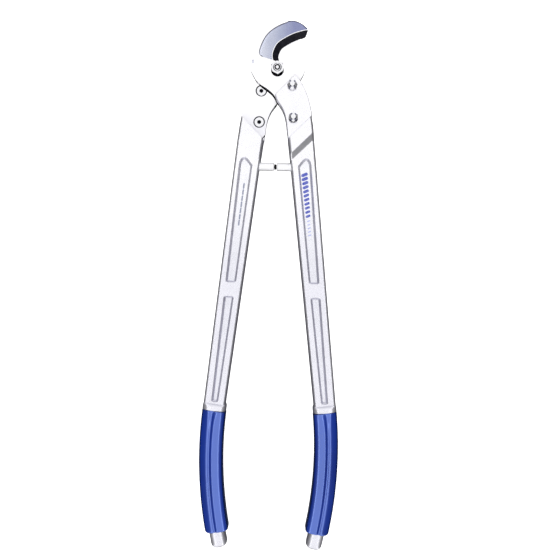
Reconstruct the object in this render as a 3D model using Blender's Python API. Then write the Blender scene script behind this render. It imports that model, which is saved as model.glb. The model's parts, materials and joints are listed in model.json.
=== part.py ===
"""Cable cutter: two forged handles, two hook blades that pass each other, and one pivot.

Frame: metres, +Z up. The tool lies closed on its back with its head towards +Y, and the
origin is on the surface under the middle of its footprint. The two halves are the same
set of parts. Each is modelled in the pivot's own frame (X outwards, Y towards the head,
Z out of the shear plane), and the left half is that set turned over about the long axis.
"""

import math

import bmesh
import bpy
from mathutils import Matrix, Vector

MM = 0.001

# Through the head, measured out from the shear plane
GAP = 0.3 * MM
BLADE_INNER = GAP / 2
BLADE_OUTER = 9.0 * MM
CHEEK_INNER = BLADE_OUTER + GAP
CHEEK_OUTER = 17.0 * MM
BEAM_HALF = 10.0 * MM
RECESS_FLOOR = 4.5 * MM

# Along the tool, from the pivot
HEAD_REACH = 76.4 * MM
TAIL_REACH = 730.0 * MM

# Clamp screws: countersunk M8, with spring washer and nut on the cheek
CLAMP_CENTRES = {
    "left": {"upper": (24.0 * MM, -28.5 * MM), "lower": (26.3 * MM, -76.5 * MM)},
    "right": {"upper": (23.0 * MM, -25.9 * MM), "lower": (25.6 * MM, -74.8 * MM)},
}
CLAMP_NUT_TURN = {"upper": math.radians(30), "lower": 0.0}
CLAMP_RADIUS = 4.0 * MM
CLAMP_HEAD_RADIUS = 8.2 * MM
CLAMP_SOCKET_FLATS = 5.0 * MM
CLAMP_NUT_FLATS = 13.0 * MM
CLAMP_NUT_HEIGHT = 6.4 * MM
CLAMP_WASHER_RADIUS = 7.0 * MM
CLAMP_WASHER_HEIGHT = 1.8 * MM
CLAMP_END = 28.0 * MM

# Pivot: a hex bolt from behind, with a plain washer at each end and a nut in front
PIVOT_RADIUS = 6.0 * MM
PIVOT_FLATS = 18.0 * MM
PIVOT_WASHER_RADIUS = 9.7 * MM
PIVOT_WASHER_HEIGHT = 2.2 * MM
PIVOT_NUT_HEIGHT = 10.0 * MM
PIVOT_HEAD_HEIGHT = 7.5 * MM
PIVOT_END = 22.6 * MM
PIVOT_END_CHAMFER = 1.2 * MM
PIVOT_NUT_TURN = math.radians(6)
NUT_CHAMFER = 0.9 * MM

# Blade: the cutting bevel and the hollow grind behind it
EDGE_LAND = 1.0 * MM
BEVEL_WIDTH = 9.0 * MM
BEVEL_TOP = 7.0 * MM
BEVEL_OVERRUN = 1.5 * MM
GRIND_STEP = 0.3 * MM

# Handle: the shoulder that the tang meets and the slope from cheek to beam are both at
# 45 degrees, so each line is given by where it would cross X = 0
SHOULDER_AT = -123.3 * MM
SLOPE_AT = -150.5 * MM
SLOPE_RUN = 7.4 * MM

# Tail of the handle: an arc that carries the grip
TAIL_RADIUS = 600.0 * MM
TAIL_CENTRE = Vector((-511.8 * MM, -584.0 * MM, 0))
TAIL_START = math.radians(6.2)
GRIP_LENGTH = 185.0 * MM
GRIP_HALF = (18.4 * MM, 15.0 * MM)
CORE_HALF = (15.4 * MM, 12.0 * MM)
COLLAR_HALF = (18.1 * MM, 14.2 * MM)
TIP_HALF = (12.5 * MM, 10.0 * MM)
TIP_LENGTH = 26.5 * MM

# Stop: a boss on each handle, and a rubber bumper in the left one
STOP_AT = -145.1 * MM
STOP_RADIUS = 6.2 * MM
STOP_END = {"left": 1.6 * MM, "right": 2.4 * MM}
BUMPER_RADIUS = 4.2 * MM
BUMPER_STEM = (2.2 * MM, 6.0 * MM)

# Outlines in millimetres, pivot at the origin. Runs in a list are smoothed through.
MOUTH = [
    (2.6, 15.8), (0.9, 23), (2.4, 29.6), (6, 36.1), (12.4, 41), (21, 46.1), (29.5, 50),
    (39.1, 53),
]
BLUNT_TIP = [(42.7, 56.3), (45, 63.4)]
NOSE = [(43.7, 65.6), (39.4, 69.4), (31.1, 74.1), (22, 76.4), (14.6, 76)]
SPINE = [
    (12.6, 74.4), (0, 70.3), (-15, 63.2), (-27, 54.5), (-36, 43.5), (-42, 30), (-43.8, 15),
    (-41, 0), (-33, -14.8),
]
THROAT = [(-33, -14.8), (-23.2, -24.2), (-13.8, -30.6), (-5.6, -38), (0.4, -48.2)]
INNER_EDGE = [(0.4, -48.2), (4.2, -53.2), (8.2, -59.3), (12, -68), (14.6, -78), (16.1, -89)]
OUTER_EDGE = [(54.3, -68.6), (53, -61.6), (48.3, -43.6), (39.4, -22.8), (27.6, -7.3)]
HEEL = [(27.6, -7.3), (23, -3.4), (17.5, -2), (14.6, 1), (13.4, 7), (9, 13.2), (2.6, 15.8)]
GRIND_LINE = [
    (-25.4, 18.6), (-28.6, 27), (-26, 38), (-21.5, 48), (-15, 57), (-6.5, 64.4),
    (3.5, 70.4), (14, 77), (30, 85), (52, 85),
]

CHEEK_TOP = [(27.4, -6.9), (-2.6, -38.1), (-1.6, -43)]
HANDLE_INNER = [
    (0.4, -48.4), (4.2, -53.2), (8.2, -59.3), (12, -68), (14.6, -78), (16.1, -89),
    (17.6, -102), (19.8, -119), (22.4, -139), (25.2, -161),
]
HANDLE_OUTER = [
    (65, -161), (61.8, -130.5), (59.3, -107), (57.2, -87), (54.9, -72), (51.8, -56),
    (46.6, -38), (38.4, -21.5), (27.4, -6.9),
]
BEAM_END_INNER = (67.6, -514)
BEAM_END_OUTER = (101.6, -510.2)

# Recesses in each face of the beam: wall lines as (x at y = -153, outward run per mm down)
RECESS_WALL_FROM = -153
RECESS_INNER = (34.9, 0.1255)
RECESS_OUTER = (54.4, 0.0955)
UPPER_RECESS_TOP = [
    (54, -142), (52.5, -137.5), (49.5, -134), (45.5, -133.6), (42, -136.6), (35.4, -145),
]
RECESS_SPANS = ((-149, -323), (-345, -505.5))
RECESS_DRAFT = 1.6
RECESS_CORNER = 2.5

# Tang: how far it stops short of the shoulder, and the ends of its end face
TANG_CLEARANCE = 0.6 * MM
TANG_END_X = (21.4 * MM, 54.2 * MM)
TANG_CORNER = (16.9, -96)

# Stations along the tail that the core and the inside of the grip share
CORE_STATIONS = (45 * MM, 90 * MM, 135 * MM, 170 * MM)
TIP_FROM = 179 * MM

HOLE_STEPS = 24
GRIP_STEPS = 20


def flat(points):
    """Outline points in millimetres as vectors in metres."""
    return [Vector((x * MM, y * MM)) for x, y in points]


def smooth(points, steps=3):
    """A smooth open curve through the points, with the given steps between neighbours."""
    p = [2 * points[0] - points[1], *points, 2 * points[-1] - points[-2]]
    curve = []
    for a, b, c, d in zip(p, p[1:], p[2:], p[3:]):
        for i in range(steps):
            t = i / steps
            linear = (c - a) * t
            square = (2 * a - 5 * b + 4 * c - d) * t**2
            cubic = (3 * b - a - 3 * c + d) * t**3
            curve.append(0.5 * (2 * b + linear + square + cubic))
    curve.append(points[-1].copy())
    return curve


def spread(points, count):
    """The same polyline as count points at even distances."""
    lengths = [0.0]
    for a, b in zip(points, points[1:]):
        lengths.append(lengths[-1] + (b - a).length)
    result = []
    span = 0
    for i in range(count):
        want = lengths[-1] * i / (count - 1)
        while span < len(points) - 2 and lengths[span + 1] < want:
            span += 1
        share = (want - lengths[span]) / (lengths[span + 1] - lengths[span])
        result.append(points[span].lerp(points[span + 1], share))
    return result


def circle(radius, z, steps=HOLE_STEPS):
    """A ring of points round Z."""
    angles = [2 * math.pi * i / steps for i in range(steps)]
    return [Vector((radius * math.cos(a), radius * math.sin(a), z)) for a in angles]


def hexagon(flats, z, corner_radius=None, steps=HOLE_STEPS):
    """A hexagon with corners on the Y axis, as a ring that matches circle().

    With a corner_radius its corners are cut back to that radius.
    """
    ring = []
    for i in range(steps):
        a = 2 * math.pi * i / steps
        from_flat = (a + math.pi / 6) % (math.pi / 3) - math.pi / 6
        radius = flats / 2 / math.cos(from_flat)
        if corner_radius is not None:
            radius = min(radius, corner_radius)
        ring.append(Vector((radius * math.cos(a), radius * math.sin(a), z)))
    return ring


def oval(half_width, half_height, steps=GRIP_STEPS, squareness=2.4):
    """A rounded section in (width, height), fuller than an ellipse."""
    ring = []
    for i in range(steps):
        a = 2 * math.pi * i / steps
        c, s = math.cos(a), math.sin(a)
        w = math.copysign(abs(c) ** (2 / squareness), c)
        h = math.copysign(abs(s) ** (2 / squareness), s)
        ring.append((half_width * w, half_height * h))
    return ring


def tail_section(along, half_width, half_height):
    """An oval across the tail's arc, at a distance along it from the top of the grip."""
    angle = TAIL_START - along / TAIL_RADIUS
    outward = Vector((math.cos(angle), math.sin(angle), 0))
    middle = TAIL_CENTRE + TAIL_RADIUS * outward
    return [middle + w * outward + Vector((0, 0, h)) for w, h in oval(half_width, half_height)]


def material(name, colour, roughness, metallic):
    found = bpy.data.materials.get(name)
    if found:
        return found
    made = bpy.data.materials.new(name)
    made.use_nodes = True
    shader = made.node_tree.nodes["Principled BSDF"]
    shader.inputs["Base Color"].default_value = (*colour, 1)
    shader.inputs["Roughness"].default_value = roughness
    shader.inputs["Metallic"].default_value = metallic
    made.diffuse_color = (*colour, 1)
    return made


def forged_aluminium():
    return material("forged_aluminium", (0.87, 0.88, 0.90), 0.38, 1.0)


def blade_steel():
    return material("blade_steel", (0.66, 0.67, 0.72), 0.28, 1.0)


def plated_steel():
    return material("plated_steel", (0.70, 0.71, 0.74), 0.25, 1.0)


def blue_vinyl():
    return material("blue_vinyl", (0.03, 0.10, 0.42), 0.22, 0.0)


def black_rubber():
    return material("black_rubber", (0.02, 0.02, 0.022), 0.7, 0.0)


def add_object(name, bm, parent, finish=None):
    """Links the mesh as an object under parent. With no finish it is a cutter or a guide."""
    bmesh.ops.recalc_face_normals(bm, faces=bm.faces)
    mesh = bpy.data.meshes.new(name)
    bm.to_mesh(mesh)
    bm.free()
    made = bpy.data.objects.new(name, mesh)
    bpy.context.scene.collection.objects.link(made)
    made.parent = parent
    if finish is None:
        made.hide_render = True
        made.display_type = "WIRE"
    else:
        mesh.materials.append(finish)
        mesh.shade_smooth()
        mesh.set_sharp_from_angle(angle=math.radians(30))
    return made


def loft(rings, looped=False, place=None):
    """A closed mesh through rings of equal length. A looped one joins its last ring to its first."""
    bm = bmesh.new()
    rows = [[bm.verts.new(place @ p if place else p) for p in ring] for ring in rings]
    pairs = list(zip(rows, rows[1:]))
    if looped:
        pairs.append((rows[-1], rows[0]))
    for low, high in pairs:
        for i in range(len(low)):
            j = (i + 1) % len(low)
            bm.faces.new((low[i], low[j], high[j], high[i]))
    if not looped:
        bm.faces.new(list(reversed(rows[0])))
        bm.faces.new(rows[-1])
    return bm


def prism(outline, low, high):
    """A plate with the outline given in XY, from low to high."""
    return loft([[Vector((p.x, p.y, z)) for p in outline] for z in (low, high)])


def combine(target, other, operation):
    modifier = target.modifiers.new(other.name, "BOOLEAN")
    modifier.operation = operation
    modifier.object = other
    modifier.solver = "EXACT"


def cut(target, cutter):
    combine(target, cutter, "DIFFERENCE")


def fuse(target, addition):
    combine(target, addition, "UNION")


def drill(target, name, at, radius, low, high, parent):
    """A round through hole from low to high, along Z."""
    place = Matrix.Translation((at[0], at[1], 0))
    bm = loft([circle(radius, low), circle(radius, high)], place=place)
    cut(target, add_object(f"{target.name}_{name}", bm, parent))


def mouth_curve(steps=3):
    return smooth(flat(MOUTH), steps)


def blade_outline():
    """The whole outline of a blade with its tang, round from the mouth."""
    tang_end = [Vector((x, x + SHOULDER_AT + TANG_CLEARANCE)) for x in TANG_END_X]
    parts = [
        mouth_curve(),
        flat(BLUNT_TIP),
        smooth(flat(NOSE), 2),
        smooth(flat(SPINE), 3)[:-1],
        smooth(flat(THROAT), 3)[:-1],
        smooth(flat(INNER_EDGE), 2),
        flat([TANG_CORNER]),
        tang_end,
        smooth(flat(OUTER_EDGE), 2)[:-1],
        smooth(flat(HEEL), 2)[:-1],
    ]
    return [p for part in parts for p in part]


def grind_cutter(steps=24):
    """What grinding takes off the outer face.

    That is a shallow hollow from GRIND_LINE, and the bevel from it down to the edge.
    """
    edge = spread(flat([(2.9, 14.9)]) + mouth_curve() + flat([(52, 56)]), steps)
    back = spread(smooth(flat(GRIND_LINE), 3), steps)
    above = BLADE_OUTER + 3 * MM
    slope = (BEVEL_TOP - EDGE_LAND) / BEVEL_WIDTH
    rings = []
    for i in range(steps):
        before, after = edge[max(i - 1, 0)], edge[min(i + 1, steps - 1)]
        along = (after - before).normalized()
        away = Vector((along.y, -along.x))
        bevel_top = edge[i] - away * BEVEL_WIDTH
        clear = edge[i] + away * BEVEL_OVERRUN
        section = [
            (back[i], above),
            (back[i], BLADE_OUTER - GRIND_STEP),
            (bevel_top, BEVEL_TOP),
            (clear, EDGE_LAND - slope * BEVEL_OVERRUN),
            (clear, above),
        ]
        rings.append([Vector((p.x, p.y, z)) for p, z in section])
    return loft(rings)


def make_blade(side, name, parent):
    blade = add_object(name, prism(blade_outline(), BLADE_INNER, BLADE_OUTER), parent, blade_steel())
    drill(blade, "pivot_hole", (0, 0), PIVOT_RADIUS + GAP, -MM, BLADE_OUTER + MM, parent)
    for level, (x, y) in CLAMP_CENTRES[side].items():
        hole = CLAMP_RADIUS + GAP
        mouth = CLAMP_HEAD_RADIUS + GAP
        rings = [
            circle(mouth + 0.5 * MM, -0.5 * MM),
            circle(mouth, 0.0),
            circle(mouth, 0.7 * MM),
            circle(hole, 0.7 * MM + mouth - hole),
            circle(hole, BLADE_OUTER + MM),
        ]
        bm = loft(rings, place=Matrix.Translation((x, y, 0)))
        cut(blade, add_object(f"{name}_{level}_countersink", bm, parent))
    cut(blade, add_object(f"{name}_grind", grind_cutter(), parent))
    return blade


def handle_outline():
    parts = [
        flat(CHEEK_TOP)[1:],
        smooth(flat(HANDLE_INNER), 2),
        flat([BEAM_END_INNER, BEAM_END_OUTER]),
        smooth(flat(HANDLE_OUTER), 2),
    ]
    return [p for part in parts for p in part]


def shoulder_cutter():
    """Clears the tang's place under the cheek, up to the shoulder."""
    low_x, high_x = -60 * MM, 120 * MM
    outline = [
        Vector((low_x, low_x + SHOULDER_AT)),
        Vector((high_x, high_x + SHOULDER_AT)),
        Vector((high_x, 40 * MM)),
        Vector((low_x, 40 * MM)),
    ]
    return prism(outline, -BEAM_HALF - 5 * MM, CHEEK_INNER)


def slope_cutter():
    """Takes the outer face down from the cheek to the beam, across a 45 degree line."""
    across = Vector((1, -1, 0)).normalized()
    along = Vector((1, 1, 0)).normalized()
    start = Vector((0, SLOPE_AT, 0))
    rise = (CHEEK_OUTER - BEAM_HALF) / SLOPE_RUN
    top = CHEEK_OUTER + 13 * MM
    section = [
        ((CHEEK_OUTER - top) / rise, top),
        (SLOPE_RUN, BEAM_HALF),
        (900 * MM, BEAM_HALF),
        (900 * MM, top),
    ]
    rings = []
    for end in (-700 * MM, 700 * MM):
        rings.append([start + along * end + across * s + Vector((0, 0, z)) for s, z in section])
    return loft(rings)


def wall_x(wall, y):
    return wall[0] + wall[1] * (RECESS_WALL_FROM - y)


def recess_outline(span, shrink=0.0):
    """One recess in the beam's face. shrink draws the outline in, for the floor."""
    top, bottom = span
    corner = RECESS_CORNER
    points = [
        (wall_x(RECESS_INNER, bottom + corner), bottom + corner),
        (wall_x(RECESS_INNER, bottom) + corner, bottom),
        (wall_x(RECESS_OUTER, bottom) - corner, bottom),
        (wall_x(RECESS_OUTER, bottom + corner), bottom + corner),
    ]
    if span == RECESS_SPANS[0]:
        points += UPPER_RECESS_TOP
    else:
        points += [
            (wall_x(RECESS_OUTER, top - corner), top - corner),
            (wall_x(RECESS_OUTER, top) - corner, top),
            (wall_x(RECESS_INNER, top) + corner, top),
            (wall_x(RECESS_INNER, top - corner), top - corner),
        ]
    outline = flat(points)
    count = len(outline)
    drawn_in = []
    for i in range(count):
        a, b, c = outline[i - 1], outline[i], outline[(i + 1) % count]
        left_before = Vector((a.y - b.y, b.x - a.x)).normalized()
        left_after = Vector((b.y - c.y, c.x - b.x)).normalized()
        middle = (left_before + left_after).normalized()
        reach = shrink * MM / max(middle.dot(left_before), 0.3)
        drawn_in.append(b + middle * reach)
    return drawn_in


def recess_cutter(span, side):
    """A drafted pocket into the beam's face on one side, +1 or -1."""
    rings = []
    for shrink, z in ((-0.3, BEAM_HALF + MM), (RECESS_DRAFT, RECESS_FLOOR)):
        rings.append([Vector((p.x, p.y, side * z)) for p in recess_outline(span, shrink)])
    return loft(rings)


def tail_core():
    """The collar above the grip, the core inside it and the rounded tip below it."""
    end = GRIP_LENGTH + TIP_LENGTH
    stations = [
        (-13 * MM, 15.5 * MM, 8.0 * MM),
        (-9 * MM, 17.0 * MM, 9.2 * MM),
        (-6 * MM, *COLLAR_HALF),
        (-GAP, *COLLAR_HALF),
        (-GAP, *CORE_HALF),
        *((along, *CORE_HALF) for along in CORE_STATIONS),
        (TIP_FROM, *TIP_HALF),
        (end - 8 * MM, *TIP_HALF),
        (end - 4.5 * MM, TIP_HALF[0] * 0.87, TIP_HALF[1] * 0.87),
        (end - 1.8 * MM, TIP_HALF[0] * 0.62, TIP_HALF[1] * 0.62),
        (end, TIP_HALF[0] * 0.25, TIP_HALF[1] * 0.25),
    ]
    return loft([tail_section(*station) for station in stations])


def make_grip(name, parent):
    """A sleeve over the core, open at both ends."""
    width, height = GRIP_HALF
    outside = [
        (0.0, width - 1.0 * MM, height - 1.0 * MM),
        (1.5 * MM, width, height),
        *((along * MM, width, height) for along in (30, 60, 90, 120, 150)),
        (GRIP_LENGTH - 6 * MM, width, height),
        (GRIP_LENGTH - 1.6 * MM, width - 0.9 * MM, height - 0.9 * MM),
        (GRIP_LENGTH, width - 3.0 * MM, height - 2.6 * MM),
    ]
    inside = [
        (0.0, CORE_HALF),
        *((along, CORE_HALF) for along in CORE_STATIONS),
        (TIP_FROM, TIP_HALF),
        (GRIP_LENGTH, TIP_HALF),
    ]
    rings = [tail_section(*station) for station in outside]
    for along, (w, h) in reversed(inside):
        rings.append(tail_section(along, w + GAP, h + GAP))
    return add_object(name, loft(rings, looped=True), parent, blue_vinyl())


def along_x(at_y):
    """Turns a shape made along +Z to lie along +X at a place on the Y axis."""
    return Matrix.Translation((0, at_y, 0)) @ Matrix.Rotation(math.pi / 2, 4, "Y")


def make_handle(side, parent):
    name = f"{side}_handle"
    blank = prism(handle_outline(), -BEAM_HALF, CHEEK_OUTER)
    handle = add_object(name, blank, parent, forged_aluminium())
    cut(handle, add_object(f"{name}_shoulder", shoulder_cutter(), parent))
    cut(handle, add_object(f"{name}_slope", slope_cutter(), parent))
    for span, place in zip(RECESS_SPANS, ("upper", "lower")):
        for facing, sign in (("front", 1), ("back", -1)):
            guide = add_object(f"{name}_{place}_{facing}_recess", recess_cutter(span, sign), parent)
            cut(handle, guide)
    fuse(handle, add_object(f"{name}_tail", tail_core(), parent))
    boss = [
        circle(STOP_RADIUS - 1.0 * MM, STOP_END[side]),
        circle(STOP_RADIUS - 0.4 * MM, STOP_END[side] + 0.6 * MM),
        circle(STOP_RADIUS, 22 * MM),
        circle(STOP_RADIUS, 29 * MM),
    ]
    fuse(handle, add_object(f"{name}_boss", loft(boss, place=along_x(STOP_AT)), parent))
    if side == "left":
        stem_radius, stem_length = BUMPER_STEM
        hole = [circle(stem_radius + GAP, z) for z in (0.0, STOP_END[side] + stem_length + GAP)]
        cut(handle, add_object(f"{name}_bumper_hole", loft(hole, place=along_x(STOP_AT)), parent))
    low, high = CHEEK_INNER - MM, CHEEK_OUTER + MM
    for level, at in CLAMP_CENTRES[side].items():
        drill(handle, f"{level}_hole", at, CLAMP_RADIUS + GAP, low, high, parent)
    return handle


def make_bumper(parent):
    """A rubber button with a stem that plugs into the left boss. Its face meets the right boss."""
    stem_radius, stem_length = BUMPER_STEM
    back = STOP_END["left"] - GAP
    face = -STOP_END["right"] + GAP
    rings = [
        circle(BUMPER_RADIUS - 0.7 * MM, face),
        circle(BUMPER_RADIUS, face + 0.8 * MM),
        circle(BUMPER_RADIUS, back),
        circle(stem_radius, back),
        circle(stem_radius, STOP_END["left"] + stem_length),
    ]
    return add_object("stop_bumper", loft(rings, place=along_x(STOP_AT)), parent, black_rubber())


def make_clamp(side, level, parent):
    """One clamp screw through tang and cheek, with its spring washer and nut."""
    place = Matrix.Translation((*CLAMP_CENTRES[side][level], 0))
    face = 0.4 * MM
    shank_from = face + CLAMP_HEAD_RADIUS - CLAMP_RADIUS + 0.4 * MM
    socket = CLAMP_SOCKET_FLATS
    screw = [
        hexagon(socket, face + 3 * MM),
        hexagon(socket, face),
        circle(CLAMP_HEAD_RADIUS, face),
        circle(CLAMP_HEAD_RADIUS, face + 0.4 * MM),
        circle(CLAMP_RADIUS, shank_from),
        circle(CLAMP_RADIUS, CLAMP_END - 1 * MM),
        circle(CLAMP_RADIUS - 0.8 * MM, CLAMP_END),
    ]
    add_object(f"{side}_{level}_clamp_screw", loft(screw, place=place), parent, plated_steel())

    washer_low = CHEEK_OUTER + GAP
    washer_high = washer_low + CLAMP_WASHER_HEIGHT
    add_object(
        f"{side}_{level}_spring_washer",
        split_ring(CLAMP_RADIUS + GAP, CLAMP_WASHER_RADIUS, washer_low, washer_high, place),
        parent,
        plated_steel(),
    )
    nut_low = washer_high + GAP
    turned = place @ Matrix.Rotation(CLAMP_NUT_TURN[level], 4, "Z")
    add_object(
        f"{side}_{level}_clamp_nut",
        nut(CLAMP_NUT_FLATS, CLAMP_RADIUS + GAP, nut_low, nut_low + CLAMP_NUT_HEIGHT, turned),
        parent,
        plated_steel(),
    )


def nut(flats, bore, low, high, place=None):
    """A hexagon nut with its corners chamfered at both ends."""
    rings = [
        circle(bore, low),
        hexagon(flats, low, flats / 2),
        hexagon(flats, low + NUT_CHAMFER),
        hexagon(flats, high - NUT_CHAMFER),
        hexagon(flats, high, flats / 2),
        circle(bore, high),
    ]
    return loft(rings, looped=True, place=place)


def split_ring(inner, outer, low, high, place):
    """A spring washer: a square-section ring with a narrow slot."""
    slot = math.radians(9)
    steps = 20
    sections = []
    for i in range(steps + 1):
        a = slot / 2 + (2 * math.pi - slot) * i / steps
        direction = Vector((math.cos(a), math.sin(a), 0))
        corners = ((inner, low), (outer, low), (outer, high), (inner, high))
        sections.append([direction * r + Vector((0, 0, z)) for r, z in corners])
    return loft(sections, place=place)


def plain_washer(inner, outer, low, high):
    rings = [circle(inner, low), circle(outer, low), circle(outer, high), circle(inner, high)]
    return loft(rings, looped=True)


def make_pivot(parent):
    """The pivot bolt, its two washers and its nut, in the right half's frame."""
    inner = PIVOT_RADIUS + GAP
    washer_low = BLADE_OUTER + GAP
    washer_high = washer_low + PIVOT_WASHER_HEIGHT
    for name, sign in (("pivot_nut_washer", 1), ("pivot_head_washer", -1)):
        low, high = sorted((sign * washer_low, sign * washer_high))
        add_object(name, plain_washer(inner, PIVOT_WASHER_RADIUS, low, high), parent, plated_steel())
    nut_low = washer_high + GAP
    turned = Matrix.Rotation(PIVOT_NUT_TURN, 4, "Z")
    add_object(
        "pivot_nut",
        nut(PIVOT_FLATS, inner, nut_low, nut_low + PIVOT_NUT_HEIGHT, turned),
        parent,
        plated_steel(),
    )
    head_top = -nut_low
    head_bottom = head_top - PIVOT_HEAD_HEIGHT
    bolt = [
        hexagon(PIVOT_FLATS, head_bottom, PIVOT_FLATS / 2),
        hexagon(PIVOT_FLATS, head_bottom + NUT_CHAMFER),
        hexagon(PIVOT_FLATS, head_top),
        circle(PIVOT_RADIUS, head_top),
        circle(PIVOT_RADIUS, PIVOT_END - PIVOT_END_CHAMFER),
        circle(PIVOT_RADIUS - PIVOT_END_CHAMFER, PIVOT_END),
    ]
    add_object("pivot_bolt", loft(bolt), parent, plated_steel())


def make_frame(name, turned_over):
    """An empty on the pivot axis in the shear plane, which carries one half."""
    frame = bpy.data.objects.new(name, None)
    bpy.context.scene.collection.objects.link(frame)
    frame.location = (0, (TAIL_REACH - HEAD_REACH) / 2, CLAMP_END)
    if turned_over:
        frame.rotation_euler = (0, math.pi, 0)
    return frame


def make_half(side, blade_name, parent):
    make_handle(side, parent)
    make_grip(f"{side}_grip", parent)
    make_blade(side, blade_name, parent)
    for level in CLAMP_CENTRES[side]:
        make_clamp(side, level, parent)


def main():
    for old in list(bpy.data.objects):
        bpy.data.objects.remove(old)
    right = make_frame("right_half", turned_over=False)
    left = make_frame("left_half", turned_over=True)
    make_half("right", "front_blade", right)
    make_half("left", "rear_blade", left)
    make_bumper(left)
    make_pivot(right)


main()
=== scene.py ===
"""The looks of the cable cutter: fine pieces, materials, floor, light and camera on the CAD frame.

Each half of the tool is modelled once in its own frame (pivot at the origin, X outwards, Y towards
the head, Z out of the plane in which the blades pass). The left half is the same set turned over.
"""

import json
import math

import bmesh
import bpy
import numpy as np
from mathutils import Matrix, Vector
from mathutils.geometry import delaunay_2d_cdt


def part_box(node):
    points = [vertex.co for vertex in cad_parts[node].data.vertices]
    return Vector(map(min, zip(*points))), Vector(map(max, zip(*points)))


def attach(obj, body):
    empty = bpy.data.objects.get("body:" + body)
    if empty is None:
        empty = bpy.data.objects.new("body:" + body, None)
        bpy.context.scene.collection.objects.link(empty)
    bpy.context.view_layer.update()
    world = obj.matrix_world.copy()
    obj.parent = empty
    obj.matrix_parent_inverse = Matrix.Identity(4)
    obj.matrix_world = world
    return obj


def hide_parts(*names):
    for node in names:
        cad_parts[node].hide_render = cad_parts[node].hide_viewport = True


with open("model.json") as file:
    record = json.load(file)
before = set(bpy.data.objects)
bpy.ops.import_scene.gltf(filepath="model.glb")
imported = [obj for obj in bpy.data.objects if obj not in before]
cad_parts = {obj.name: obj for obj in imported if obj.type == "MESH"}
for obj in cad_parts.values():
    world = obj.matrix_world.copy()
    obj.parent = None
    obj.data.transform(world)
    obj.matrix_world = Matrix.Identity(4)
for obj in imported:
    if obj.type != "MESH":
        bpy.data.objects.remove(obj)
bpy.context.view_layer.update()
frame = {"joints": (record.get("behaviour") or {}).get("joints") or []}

MM = 0.001
GAP = 0.3 * MM
ROUND_STEPS = 48
PIVOT = Vector(frame["joints"][0]["pos_m"])
HALVES = {
    "right": Matrix.Translation(PIVOT),
    "left": Matrix.Translation(PIVOT) @ Matrix.Rotation(math.pi, 4, "Y"),
}
BLADES = {"right": "front_blade", "left": "rear_blade"}

# ---- Dimensions in the half's frame ----

# Heights over the plane in which the blades pass
BLADE_INNER = GAP / 2
BLADE_OUTER = 9.0 * MM
CHEEK_INNER = BLADE_OUTER + GAP
CHEEK_OUTER = 17.0 * MM
BEAM_HALF = 10.0 * MM
RECESS_FLOOR = 4.5 * MM
MARK_SINK = RECESS_FLOOR - 0.1 * MM
MARK_TOP = RECESS_FLOOR + 0.05 * MM

# The shoulder and the slope below the cheek run at 45 degrees, and cross the Y axis here
ACROSS_SLOPE = Vector((1, -1)).normalized()
ALONG_SLOPE = Vector((1, 1)).normalized()
SHOULDER_AT = -123.3 * MM
SLOPE_AT = -150.5 * MM
SLOPE_RUN = 7.4 * MM

# Clamp screws (M8), washers and nuts. A thread is its depth and its pitch.
CLAMP_RADIUS = 4.0 * MM
CLAMP_THREAD = (0.5 * MM, 1.25 * MM)
CLAMP_END = PIVOT.z
CLAMP_HEAD_AT = 0.4 * MM
CLAMP_HEAD_RADIUS = 7.4 * MM
CLAMP_SOCKET_FLATS = 5.0 * MM
CLAMP_SOCKET_DEPTH = 3.2 * MM
CLAMP_MOUTH_RADIUS = 8.9 * MM
CLAMP_MOUTH_DEPTH = 1.4 * MM
CLAMP_WASHER_RADIUS = 7.0 * MM
CLAMP_WASHER_AT = CHEEK_OUTER + GAP
CLAMP_NUT_FLATS = 13.0 * MM
CLAMP_NUT_AT = CLAMP_WASHER_AT + 1.8 * MM + GAP
CLAMP_NUT_TOP = CLAMP_NUT_AT + 6.4 * MM
CLAMP_NUT_CROWN = 0.9 * MM
CLAMP_NUT_TURN = {"upper": math.radians(30), "lower": 0.0}

# Pivot bolt (M12), washers and nut
PIVOT_RADIUS = 6.0 * MM
PIVOT_BORE = PIVOT_RADIUS + 0.1 * MM
PIVOT_THREAD = (0.6 * MM, 1.75 * MM)
PIVOT_FLATS = 18.0 * MM
PIVOT_HEAD_HEIGHT = 7.5 * MM
PIVOT_WASHER_RADIUS = 9.7 * MM
PIVOT_WASHER_AT = BLADE_OUTER + GAP
PIVOT_WASHER_TOP = PIVOT_WASHER_AT + 2.2 * MM
PIVOT_NUT_AT = PIVOT_WASHER_TOP + GAP
PIVOT_NUT_TOP = PIVOT_NUT_AT + 10.0 * MM
PIVOT_NUT_TURN = math.radians(6)

# The tail's arc, and the half width and half height of what sits on it
TAIL_RADIUS = 600.0 * MM
TAIL_CENTRE = Vector((-511.8 * MM, -584.0 * MM, 0))
TAIL_START = math.radians(6.2)
COLLAR_HALF = (18.1 * MM, 14.2 * MM)
CORE_HALF = (15.4 * MM, 12.0 * MM)
CORE_END = 170.0 * MM
GRIP_HALF = (18.4 * MM, 15.0 * MM)
GRIP_LENGTH = 185.0 * MM
TIP_HALF = (12.4 * MM, 10.0 * MM)
TIP_FROM = 178.0 * MM
TIP_LENGTH = 26.5 * MM
TIP_DOME = 9.0 * MM

# The grip's section leans inwards, with a groove beside its crown that flares at the upper lip
GRIP_STEPS = 160
GRIP_SKEW = 0.26
GRIP_SQUARENESS = 2.6
GRIP_LIP = [(0.0, 1.6 * MM), (0.25 * MM, 0.7 * MM), (1.0 * MM, 0.15 * MM), (2.0 * MM, 0.0)]
GRIP_END_ROUND = (4.0 * MM, 2.2 * MM)
GROOVE_AT = 2.0 * MM
GROOVE_WIDTH = 2.5 * MM
GROOVE_DEPTH = 1.9 * MM
GROOVE_FLARE = 1.6
GROOVE_FLARE_LENGTH = 9.0 * MM

# The stop bosses, and how far each ends from the tool's middle
STOP_RADIUS = 6.2 * MM
STOP_END = {"left": 1.6 * MM, "right": 2.4 * MM}

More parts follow.
